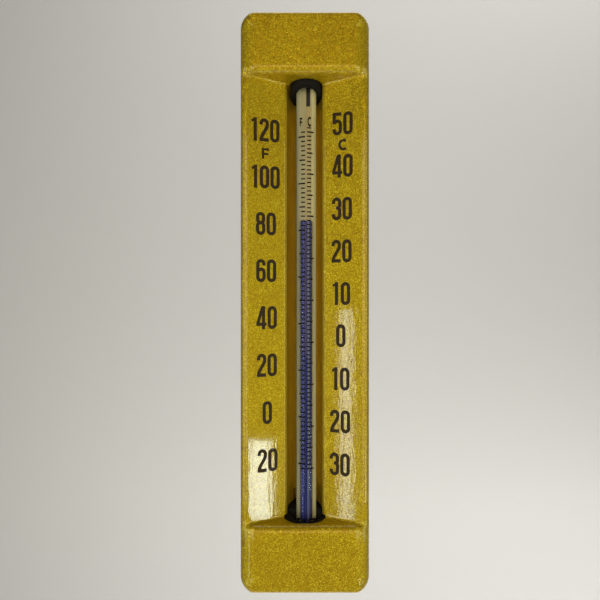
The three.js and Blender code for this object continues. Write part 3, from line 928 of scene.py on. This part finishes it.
# ---------------------------------------------------------------- glass insert
def swept(name, path, seg=64, close=True):
    """Round bar along points (x, y, z, radius) in the tube's YZ plane."""
    verts, faces = [], []
    pts = [np.array(p[:3], float) for p in path]
    for i, p in enumerate(path):
        a, b = pts[max(0, i - 1)], pts[min(len(pts) - 1, i + 1)]
        tangent = (b - a) / np.linalg.norm(b - a)
        up = np.cross(np.array([1.0, 0, 0]), tangent)
        for k in range(seg):
            c = 2 * math.pi * k / seg
            verts.append(
                pts[i] + p[3] * (math.cos(c) * np.array([1.0, 0, 0]) + math.sin(c) * up)
            )
    for i in range(len(path) - 1):
        for k in range(seg):
            a, b = i * seg + k, i * seg + (k + 1) % seg
            faces.append([a, b, b + seg, a + seg])
    faces.append(list(range(seg))[::-1])
    faces.append([(len(path) - 1) * seg + k for k in range(seg)])
    ob = make_mesh(name, np.array(verts), faces)
    vol = sum(f.normal.dot(f.center) * f.area for f in ob.data.polygons)
    if vol < 0:
        ob.data.flip_normals()
    return ob


tube_path = [
    (TUBE_X, TUBE_Y, 136.0, 2.45),
    (TUBE_X, TUBE_Y, 135.85, 2.7),
    (TUBE_X, TUBE_Y, 135.5, 2.88),
    (TUBE_X, TUBE_Y, 135.0, TUBE_R),
    (TUBE_X, TUBE_Y, 9.0, TUBE_R),
    (TUBE_X, TUBE_Y, 8.0, 2.82),
    (TUBE_X, TUBE_Y, 7.2, 2.5),
    (TUBE_X, TUBE_Y, 6.6, 2.2),
]
for k in range(1, 13):
    a = math.pi * (1 + k / 24)
    tube_path.append(
        (TUBE_X, TUBE_Y + 6.5 + 6.5 * math.cos(a), 6.5 + 6.5 * math.sin(a), 2.2)
    )
tube_path += [(TUBE_X, y, 0, 2.2) for y in (-31.0, 33.5)]
tube_path += [
    (TUBE_X, 34.4, 0, 2.5),
    (TUBE_X, 35.4, 0, 3.0),
    (TUBE_X, 36.4, 0, 3.2),
    (TUBE_X, 52.8, 0, 3.2),
]
for k in range(1, 8):
    a = math.radians(90 * k / 7.3)
    tube_path.append((TUBE_X, 52.8 + 3.2 * math.sin(a), 0, 3.2 * math.cos(a)))
tube = swept("scale_tube_glass", tube_path)
sharpen(tube, 50)
piece(tube, GLASS, "head", "tube_glass", "glass_tube")

# Cream backing: the opal strip as the round glass spreads it over the tube's width, a shallow trough behind the bore.
steps = 28
back_r, reach = 7.5, 2.84
sag = back_r - math.sqrt(back_r**2 - reach**2)
trough = []
for thick in (0.0, -0.2):
    for k in range(steps + 1):
        u = -reach + 2 * reach * k / steps
        w = math.sqrt(back_r**2 - u * u) - (back_r - sag) - 0.05
        trough.append((u * (1 + 0.05 * thick), w + thick + 0.1 * (1 - abs(u) / reach)))
n = steps + 1
verts, faces = [], []
for z in (7.9, 135.0):
    for u, w in trough:
        verts.append((TUBE_X + u, TUBE_Y + w, z))
m = 2 * n
ring = list(range(n)) + list(range(2 * n - 1, n - 1, -1))
for i in range(len(ring)):
    a, b = ring[i], ring[(i + 1) % len(ring)]
    faces.append([b, a, a + m, b + m])
for k in range(steps):
    faces.append([k, k + 1, n + k + 1, n + k])
    faces.append([m + k, m + n + k, m + n + k + 1, m + k + 1])
backing = make_mesh("opal_backing", np.array(verts), faces)
if sum(f.normal.dot(f.center - Vector((TUBE_X * 0.001, (TUBE_Y + 0.9) * 0.001, 0.07))) * f.area for f in backing.data.polygons) < 0:
    backing.data.flip_normals()
sharpen(backing, 60)
piece(backing, OPAL, "head", "opal_enamel", "opal_strip")

# Spirit column, as wide as the glass shows it. Its ends are the only places with vertices, so it would stretch evenly
# between them.
CAP = 1.6
Z0, Z1 = 9.0, READING - CAP
half_w, half_t = 1.72, 0.3
seg = 40
outline = [
    (
        half_w * math.cos(2 * math.pi * k / seg),
        half_t * math.sin(2 * math.pi * k / seg),
    )
    for k in range(seg)
]
verts = [(TUBE_X + u, TUBE_Y - 0.3 + w, z) for z in (Z0, Z1) for u, w in outline]
faces = [[k, (k + 1) % seg, seg + (k + 1) % seg, seg + k] for k in range(seg)]
faces += [list(range(seg))[::-1], [seg + k for k in range(seg)]]
column = make_mesh("spirit_thread", np.array(verts), faces)
sharpen(column, 60)
dress(column, SPIRIT)
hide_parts("spirit_column")
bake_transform(column)
rows = [(1.0, 0.0), (1.0, 1.95), (0.985, 2.14), (0.94, 2.27), (0.84, 2.34), (0.6, 2.38)]
verts, faces = [], []
for s, h in rows:
    verts += [
        (TUBE_X + u * s, TUBE_Y - 0.3 + w * s, Z1 + h) for u, w in outline
    ]
for i in range(len(rows) - 1):
    for k in range(seg):
        a, b = i * seg + k, i * seg + (k + 1) % seg
        faces.append([a, b, b + seg, a + seg])
faces += [list(range(seg))[::-1], [(len(rows) - 1) * seg + k for k in range(seg)]]
top = make_mesh("spirit_thread_top", np.array(verts), faces)
sharpen(top, 60)
piece(top, SPIRIT, "spirit_top", "blue_spirit", "meniscus")

# the foot of the thread, down to the bend
verts = [
    (TUBE_X + u * k, TUBE_Y - 0.3 + w * k, z)
    for z, k in ((7.7, 0.86), (8.3, 0.97), (Z0, 1.0))
    for u, w in outline
]
faces = [
    [i * seg + k, i * seg + (k + 1) % seg, (i + 1) * seg + (k + 1) % seg, (i + 1) * seg + k]
    for i in (0, 1)
    for k in range(seg)
]
faces += [list(range(seg))[::-1], [2 * seg + k for k in range(seg)]]
foot = make_mesh("spirit_thread_foot", np.array(verts), faces)
sharpen(foot, 60)
piece(foot, SPIRIT, "head", "blue_spirit")

# ---------------------------------------------------------------- printing
def ribbon(points, width, closed=False):
    """Quads of a stroke of even width along points."""
    p = np.array(points, float)
    if closed:
        prev, nxt = np.roll(p, 1, 0), np.roll(p, -1, 0)
    else:
        prev, nxt = np.vstack([p[:1], p[:-1]]), np.vstack([p[1:], p[-1:]])
    t1, t2 = p - prev, nxt - p
    l1, l2 = np.linalg.norm(t1, axis=1), np.linalg.norm(t2, axis=1)
    t1 = np.where(l1[:, None] > 1e-9, t1 / np.maximum(l1, 1e-9)[:, None], 0)
    t2 = np.where(l2[:, None] > 1e-9, t2 / np.maximum(l2, 1e-9)[:, None], 0)
    t = t1 + t2
    t /= np.maximum(np.linalg.norm(t, axis=1), 1e-9)[:, None]
    ref = np.where(l1[:, None] > 1e-9, t1, t2)
    cosh = np.clip((t * ref).sum(1), 0.5, 1)
    nrm = np.stack([-t[:, 1], t[:, 0]], 1) * (width / 2 / cosh)[:, None]
    left, right = p + nrm, p - nrm
    k = len(p)
    return [
        [left[i], left[(i + 1) % k], right[(i + 1) % k], right[i]]
        for i in range(k if closed else k - 1)
    ]


def arc(cx, cy, rx, ry, a0, a1, n=14):
    return [
        (
            cx + rx * math.cos(math.radians(a0 + (a1 - a0) * k / n)),
            cy + ry * math.sin(math.radians(a0 + (a1 - a0) * k / n)),
        )
        for k in range(n + 1)
    ]


# Narrow block numerals. Height 6.45 over the strokes; each entry is (points, closed, stroke).
W, H = 0.94, 2.755
S = 0.98
GLYPHS = {
    "0": [(arc(0, H - W, W, W, 0, 180) + arc(0, W - H, W, W, 180, 360), True, S)],
    "1": [
        ([(0.18, H + S / 2), (0.18, -H - S / 2)], False, S),
        ([(-0.98, 2.20), (-0.45, 2.46), (0.05, 2.86)], False, 0.72),
    ],
    "2": [
        (
            [(-W, 1.40)]
            + arc(0, H - W, W, W, 180, 0)
            + [(0.93, 1.25), (0.78, 0.72), (-0.70, -1.75), (-0.92, -2.42), (-0.93, -2.75)],
            False,
            S,
        ),
        ([(-0.93 - S / 2, -H), (W + 0.42, -H)], False, S),
    ],
    "3": [
        (
            [(-W, 1.42)]
            + arc(0, H - W, W, W, 180, 0)
            + arc(0.15, 1.05, 0.8, 0.8, 0, -80, 7),
            False,
            S,
        ),
        (
            arc(0.12, -0.55, 0.83, 0.83, 80, 0, 7)
            + arc(0, W - H, W, W, 0, -180)
            + [(-W, -1.42)],
            False,
            S,
        ),
        ([(-0.18, 0.26), (0.45, 0.26)], False, 0.86),
    ],
    "4": [
        ([(0.62, H + S / 2), (0.62, -H - S / 2)], False, S),
        ([(0.34, H + 0.18), (-0.16, 1.35), (-1.16, -1.78)], False, S * 0.96),
        ([(-1.52, -1.86), (1.52, -1.86)], False, S * 0.92),
        ([(0.12, H + 0.02), (0.8, H + 0.02)], False, S),
    ],
    "5": [
        ([(-W - S / 2, H), (W + 0.36, H)], False, S),
        ([(-W, H), (-W, 0.02)], False, S),
        (
            arc(0, -0.15, W, W, 148, 0, 10)
            + arc(0, W - H, W, W, 0, -180)
            + [(-W, -1.42)],
            False,
            S,
        ),
    ],
    "6": [
        (
            [(W, 1.42)]
            + arc(0, H - W, W, W, 0, 180)
            + arc(0, W - H, W, W, 180, 360)
            + arc(0, -0.55, W, W, 0, 165, 10),
            False,
            S,
        ),
    ],
    "8": [
        (
            arc(0, 1.86, 0.9, 0.9, 0, 180)
            + arc(0, 1.13, 0.9, 0.87, 180, 360),
            True,
            S,
        ),
        (
            arc(0, -0.69, W, W, 0, 180)
            + arc(0, W - H, W, W, 180, 360),
            True,
            S,
        ),
    ],
    "C": [(arc(0, 0, 1.12, 1.28, 48, 312, 24), False, 0.72)],
    "F": [
        ([(-0.72, 1.52), (-0.72, -1.52)], False, 0.74),
        ([(-1.0, 1.2), (1.1, 1.2)], False, 0.64),
        ([(-1.0, -0.1), (0.95, -0.1)], False, 0.62),
    ],
}
ADVANCE = {"1": 2.55, "2": 3.22, "3": 3.22, "4": 3.30, "5": 3.25, "6": 3.22, "8": 3.22, "0": 3.22}


def text_quads(text, scale=1.0):
    """Quads of a number, centred on the origin."""
    at, out = 0.0, []
    widths = [ADVANCE.get(c, 3.0) for c in text]
    total = sum(widths)
    x = -total / 2
    for c, w in zip(text, widths):
        for pts, closed, s in GLYPHS[c]:
            for q in ribbon(pts, s, closed):
                out.append([(p[0] + x + w / 2, p[1]) for p in q])
        x += w
    lo = min(p[0] for q in out for p in q)
    hi = max(p[0] for q in out for p in q)
    mid = (lo + hi) / 2
    return [[((p[0] - mid) * scale, p[1] * scale) for p in q] for q in out], hi - lo


def flat_union(quads):
    """One clean triangulation of overlapping quads: (points, triangles)."""
    pts, faces = [], []
    for q in quads:
        faces.append(list(range(len(pts), len(pts) + 4)))
        area = sum(
            q[i][0] * q[(i + 1) % 4][1] - q[(i + 1) % 4][0] * q[i][1] for i in range(4)
        )
        q = q if area > 0 else q[::-1]
        pts += [Vector((float(p[0]), float(p[1]))) for p in q]
    v, _, f, _, _, of = delaunay_2d_cdt(pts, [], faces, 1, 1e-4, True)
    tris = []
    for face, src in zip(f, of):
        if not src:
            continue
        for i in range(1, len(face) - 1):
            a, b, c = (np.array(v[face[j]]) for j in (0, i, i + 1))
            if (b - a)[0] * (c - a)[1] - (b - a)[1] * (c - a)[0] > 1e-8:
                tris.append((face[0], face[i], face[i + 1]))
    used = sorted({i for t in tris for i in t})
    new = {o: k for k, o in enumerate(used)}
    return np.array([tuple(v[i]) for i in used]), [tuple(new[i] for i in t) for t in tris]


def slab(points, tris, place, up, down, verts, faces):
    """Closes a flat figure into a thin slab. place(u, v, height) gives a point."""
    base, k = len(verts), len(points)
    verts += [place(u, v, up) for u, v in points] + [
        place(u, v, down) for u, v in points
    ]
    edges = {}
    for a, b, c in tris:
        faces.append([base + a, base + b, base + c])
        faces.append([base + k + c, base + k + b, base + k + a])
        for e in ((a, b), (b, c), (c, a)):
            edges[e] = True
    for a, b in edges:
        if (b, a) not in edges:
            faces.append([base + b, base + a, base + k + a, base + k + b])


def on_left(x0, z0):
    def place(u, v, h):
        x = x0 + u * V_COS
        y = FRONT + V_OUT_D + (V_OUT + x) * V_SLOPE
        return (x + h * V_SLOPE * V_COS, y - h * V_COS, z0 + v)

    return place


def on_right(x0, z0):
    def place(u, v, h):
        x = x0 + u * V_COS
        y = FRONT + V_OUT_D + (V_OUT - x) * V_SLOPE
        return (x - h * V_SLOPE * V_COS, y - h * V_COS, z0 + v)

    return place


LEFT = [
    ("120", 118.74, 9.02),
    ("F", 112.06, 2.26),
    ("100", 105.48, 9.1),
    ("80", 92.27, 6.22),
    ("60", 79.0, 6.23),
    ("40", 65.73, 6.45),
    ("20", 52.3, 6.35),
    ("0", 38.84, 2.84),
    ("20", 25.35, 6.4),
]
RIGHT = [
    ("50", 120.67, 6.29),
    ("C", 114.62, 2.95),
    ("40", 108.68, 6.4),
    ("30", 96.58, 6.29),
    ("20", 84.57, 6.25),
    ("10", 72.52, 5.4),
    ("0", 60.58, 2.78),
    ("10", 48.36, 5.4),
    ("20", 36.27, 6.25),
    ("30", 24.09, 6.35),
]
verts, faces = [], []
for text, z, _ in LEFT:
    z = 70.7 + (z - 70.7) * 0.9956
    quads, _w = text_quads(text)
    pts, tris = flat_union(quads)
    slab(pts, tris, on_left(-10.49 - 0.0069 * (z - 25.35), z), 0.03, -0.12, verts, faces)
left_print = make_mesh("fahrenheit_numbers", np.array(verts), faces, smooth=False)
piece(left_print, INK, "head", "scale_print")
verts, faces = [], []
for text, z, _ in RIGHT:
    z = 70.7 + (z - 70.7) * 0.9956
    quads, _w = text_quads(text)
    pts, tris = flat_union(quads)
    slab(pts, tris, on_right(9.84 + 0.0083 * (z - 24.09), z), 0.03, -0.12, verts, faces)
right_print = make_mesh("celsius_numbers", np.array(verts), faces, smooth=False)
piece(right_print, INK, "head", "scale_print")


def round_tube(z0):
    def place(u, v, h):
        a = u / TUBE_R
        r = TUBE_R + h
        return (TUBE_X + r * math.sin(a), TUBE_Y - r * math.cos(a), z0 + v)

    return place


def tick(u0, u1, z, thick, verts, faces, k=5):
    """A scale line round the front of the tube, from u0 to u1 measured across it."""
    a0, a1 = math.asin(u0 / TUBE_R), math.asin(u1 / TUBE_R)
    base = len(verts)
    for i in range(k + 1):
        a = a0 + (a1 - a0) * i / k
        for r, dz in (
            (TUBE_R + 0.025, thick / 2),
            (TUBE_R + 0.025, -thick / 2),
            (TUBE_R - 0.03, -thick / 2),
            (TUBE_R - 0.03, thick / 2),
        ):
            verts.append((TUBE_X + r * math.sin(a), TUBE_Y - r * math.cos(a), z + dz))
    for i in range(k):
        a, b = base + i * 4, base + i * 4 + 4
        for j in range(4):
            faces.append([a + j, a + (j + 1) % 4, b + (j + 1) % 4, b + j])
    faces.append([base + 3, base + 2, base + 1, base])
    e = base + k * 4
    faces.append([e, e + 1, e + 2, e + 3])


verts, faces = [], []
for f in range(-22, 123, 2):
    z = SCALE_ZERO + (f - 32) / 1.8 * PER_C
    u0 = -2.22 if f % 20 == 0 else -1.95 if f % 10 == 0 else -1.50
    tick(u0, -0.36, z, 0.42 if f % 10 == 0 else 0.36, verts, faces)
for c in range(-30, 52):
    z = SCALE_ZERO + c * PER_C
    u1 = 2.05 if c % 10 == 0 else 1.78 if c % 5 == 0 else 1.34
    tick(0.2, u1, z, 0.42 if c % 5 == 0 else 0.36, verts, faces)
for text, u, z in (("F", -1.62, 121.4), ("C", 0.86, 121.4)):
    quads, _w = text_quads(text, 0.62 if text == "F" else 0.7)
    quads = [[(p[0] * 0.62, p[1] * 1.25) for p in q] for q in quads]
    pts, tris = flat_union(quads)
    pts = pts + np.array([u, 0])
    slab(pts, tris, round_tube(z), 0.025, -0.03, verts, faces)
marks = make_mesh("scale_lines", np.array(verts), faces, smooth=False)
piece(marks, TUBE_INK, "head", "scale_print")

# ---------------------------------------------------------------- stem, nut and washer
def hexagon(x, z, af, turn):
    """Signed distance to a hexagonal bar along Y."""
    d = np.full(np.shape(x), -1e9)
    for k in range(6):
        a = turn + k * math.pi / 3
        d = np.maximum(d, x * math.cos(a) + z * math.sin(a) - af / 2)
    return d


def thread(r, x, y, z, major, minor, pitch, y0, y1, run=1.0):
    """Right-hand V thread along Y with rounded crests, dying out at both ends."""
    turn = np.arctan2(-x, z) / (2 * math.pi)
    w = (y / pitch + turn) % 1.0
    tri = 1 - 2 * np.abs(w - 0.5) * 1.0
    tri = np.clip((tri - 0.12) / 0.76, 0, 1)
    tri = tri * tri * (3 - 2 * tri) * 0.35 + tri * 0.65
    fade = np.clip(np.minimum(y - y0, y1 - y) / run, 0, 1)
    return (r - (minor + (major - minor) * tri * fade)) * 0.72


def connector_field(x, y, z):
    r = np.hypot(x, z)
    neck = r_max(r - 7.0, np.abs(y + 21.9) - 11.9, 0.3)
    groove = np.maximum(6.2 - r, np.abs(y + 31.9) - 0.6)
    neck = np.maximum(neck, -groove)
    cut = np.maximum(thread(r, x, y, z, 7.02, 6.2, 1.5, -20.2, -11.0), -20.4 - y)
    neck = np.where(y > -20.4, np.maximum(neck, thread(r, x, y, z, 7.02, 6.2, 1.5, -20.2, -11.2)), neck)
    hexa = r_max(hexagon(x, z, 27.0, math.pi / 2), np.abs(y + 5.0) - 5.0, 0.25)
    # turned chamfers on both faces
    hexa = np.maximum(hexa, (r - 13.3) * 0.5 - (y + 10.0) * 0.866)
    # rear face: a flat sealing ring with a sunk centre, chamfered out to the flats
    hexa = np.maximum(hexa, (r - 13.3) * 0.6 + y * 0.8)
    hexa = np.maximum(hexa, -np.maximum(r - 10.9, -0.5 - y))
    pipe = np.maximum(thread(r, x, y, z, 10.46, 9.32, 1.814, 1.3, 19.6, 0.9), y - 20.0)
    pipe = np.maximum(pipe, (r - 9.2) * 0.707 + (y - 19.6) * 0.707)
    pipe = np.maximum(pipe, -1.0 - y)
    relief = np.maximum(9.1 - r, np.abs(y - 0.7) - 0.7)
    pipe = r_max(pipe, -relief, 0.1)
    f = np.minimum(r_min(neck, hexa, 0.3), r_min(pipe, hexa, 0.2))
    f = np.maximum(f, -np.maximum(r - 4.2, y - 8.0))
    f = np.maximum(f, -np.maximum(r - 5.05, 7.0 - y))
    return f


rad = mirrored((0, 10.8, 0.36), (10.8, 16.0, 0.5))
connector = surface_net(
    "stem_connector_turned",
    connector_field,
    rad,
    spaced(
        (-34.2, -30.8, 0.3),
        (-30.8, -20.6, 0.9),
        (-20.6, -9.4, 0.22),
        (-9.4, -0.6, 0.5),
        (-0.6, 20.4, 0.24),
    ),
    mirrored((0, 10.8, 0.36), (10.8, 13.9, 0.5)),
)
piece(connector, BRASS, "stem", "stem_brass", "stem_connector")

sheath = lathe(
    "immersion_sheath",
    soften([(4.0, 7.2), (5.0, 7.2), (5.0, 58.93), (4.0, 58.93)], 0.06, 2, True),
    closed=True,
)
sharpen(sheath, 40)
piece(sheath, BRASS, "stem", "stem_brass", "immersion_tube")
end = [(0, 56.0), (3.6, 56.0), (3.94, 56.4), (3.94, 59.0), (4.9, 59.0), (5.0, 59.12), (5.0, 61.2)]
end += [
    (3.2 + 1.8 * math.cos(math.radians(a)), 61.2 + 1.8 * math.sin(math.radians(a)))
    for a in range(9, 91, 9)
]
end += [(0, 63.0)]
tip = lathe("stem_tip_turned", end)
sharpen(tip, 40)
piece(tip, BRASS, "stem", "stem_brass", "stem_tip")


def nut_field(x, y, z):
    h = y + 16.35
    r = np.hypot(x, z)
    f = r_max(
        hexagon(x, z, 22.0, math.radians(12)), np.abs(h) - 3.3, 0.15
    )
    f = r_max(f, (r - 10.9) * 0.5 + (np.abs(h) - 3.3) * 0.866, 0.12)
    mouth = (7.9 - r) * 0.707 + (np.abs(h) - 3.3) * 0.707
    return np.maximum(np.maximum(f, 7.12 - r), mouth)


lock_nut = surface_net(
    "lock_nut_turned",
    nut_field,
    mirrored((0, 13.2, 0.33)),
    -16.35 + mirrored((0, 2.0, 0.5), (2.0, 3.7, 0.17)),
    mirrored((0, 13.2, 0.33)),
)
piece(lock_nut, NUT_BRASS, "nut", "nut_brass", "lock_nut")


def washer_field(x, y, z):
    r = np.hypot(x, z)
    h = y + 20.375
    a = np.arctan2(x, z)
    wave = 0.0
    f = r_max(np.abs(r - 8.71) - 1.58, np.abs(h - wave) - 0.5, 0.18)
    gap = np.maximum(np.abs(x + 0.35 * h) - 0.4, -z)
    return np.maximum(f, -gap)


washer = surface_net(
    "spring_washer_ring",
    washer_field,
    mirrored((0, 0.9, 0.12), (0.9, 10.6, 0.3)),
    -20.375 + mirrored((0, 0.75, 0.15)),
    mirrored((0, 10.6, 0.3)),
)
piece(washer, SPRING_STEEL, "washer", "spring_steel", "spring_washer")

for name, mat in (
    ("retaining_ring", SPRING_STEEL),
    ("insert_spring", SPRING_STEEL),
    ("neck_packing", FIBRE),
    ("spirit_fill", SPIRIT),
):
    keep(name, mat)

# ---------------------------------------------------------------- stage, light and camera
stage_mat, st, sb, _ = material("pale_stage")
put(sb, Base_Color=(0.80, 0.785, 0.76, 1), Roughness=0.85, Specular_IOR_Level=0.2)
low = -420.0
profile = [(-1500.0, low), (300.0, low)]
profile += [
    (300 + 260 * math.sin(math.radians(a)), low + 260 * (1 - math.cos(math.radians(a))))
    for a in range(6, 91, 6)
]
profile += [(560.0, 2200.0)]
verts = [(x, y, z) for y, z in profile for x in (-2600.0, 2600.0)]
faces = [
    [2 * i, 2 * i + 1, 2 * i + 3, 2 * i + 2] for i in range(len(profile) - 1)
]
sweep = make_mesh("stage_sweep", np.array(verts), faces)
dress(sweep, stage_mat)

world = bpy.data.worlds.new("studio")
bpy.context.scene.world = world
world.use_nodes = True
world.node_tree.nodes["Background"].inputs[0].default_value = (0.93, 0.95, 1.0, 1)
world.node_tree.nodes["Background"].inputs[1].default_value = 0.06


def area(name, place, aim, size, power, colour=(1, 1, 1)):
    data = bpy.data.lights.new(name, "AREA")
    data.shape = "RECTANGLE"
    data.size, data.size_y = size[0] * 0.001, size[1] * 0.001
    data.energy = power
    data.color = colour
    ob = bpy.data.objects.new(name, data)
    bpy.context.scene.collection.objects.link(ob)
    ob.location = [c * 0.001 for c in place]
    ob.rotation_euler = (
        (Vector(aim) - Vector(place)).to_track_quat("-Z", "Y").to_euler()
    )
    ob.visible_camera = False
    return ob


for side in (-1, 1):
    tone = (0.94, 1.0, 0.84) if side < 0 else (0.93, 1.0, 0.86)
    area("side_near", (side * 300, -609, 30), (0, -44, 60), (220, 480), 0.60, tone)
    area("side_wide", (side * 585, -304, 30), (0, -44, 60), (220, 480), 0.60, tone)
area("front_warm", (0, -640, 130), (0, -44, 100), (420, 300), 0.66, (1.0, 0.68, 0.40))
area("low_front", (0, -150, -430), (0, -44, 100), (700, 200), 1.0, (1.0, 0.92, 0.80))
area("lamp_right", (201, -246, -56), (-12, -43, 20), (17, 54), 0.050, (0.90, 1.0, 0.92))
area("lamp_left", (-199, -246, -32), (12, -43, 30), (8, 196), 0.042, (0.92, 1.0, 0.94))
area("back_top", (190, 260, 640), (60, 460, 60), (1000, 500), 2.5)
area("back_low", (160, 220, -370), (30, 560, -60), (900, 260), 1.95)

cam_data = bpy.data.cameras.new("camera")
cam_data.sensor_width = 36
cam_data.lens = 18 / math.tan(math.radians(47.1) / 2)
cam_data.clip_start = 0.01
cam_data.clip_end = 20
cam = bpy.data.objects.new("camera", cam_data)
bpy.context.scene.collection.objects.link(cam)
cam.location = (-0.00136, -0.237, 0.0707)
cam.rotation_euler = (math.radians(90), 0, 0)
bpy.context.scene.camera = cam
bpy.context.scene.view_settings.view_transform = "Standard"
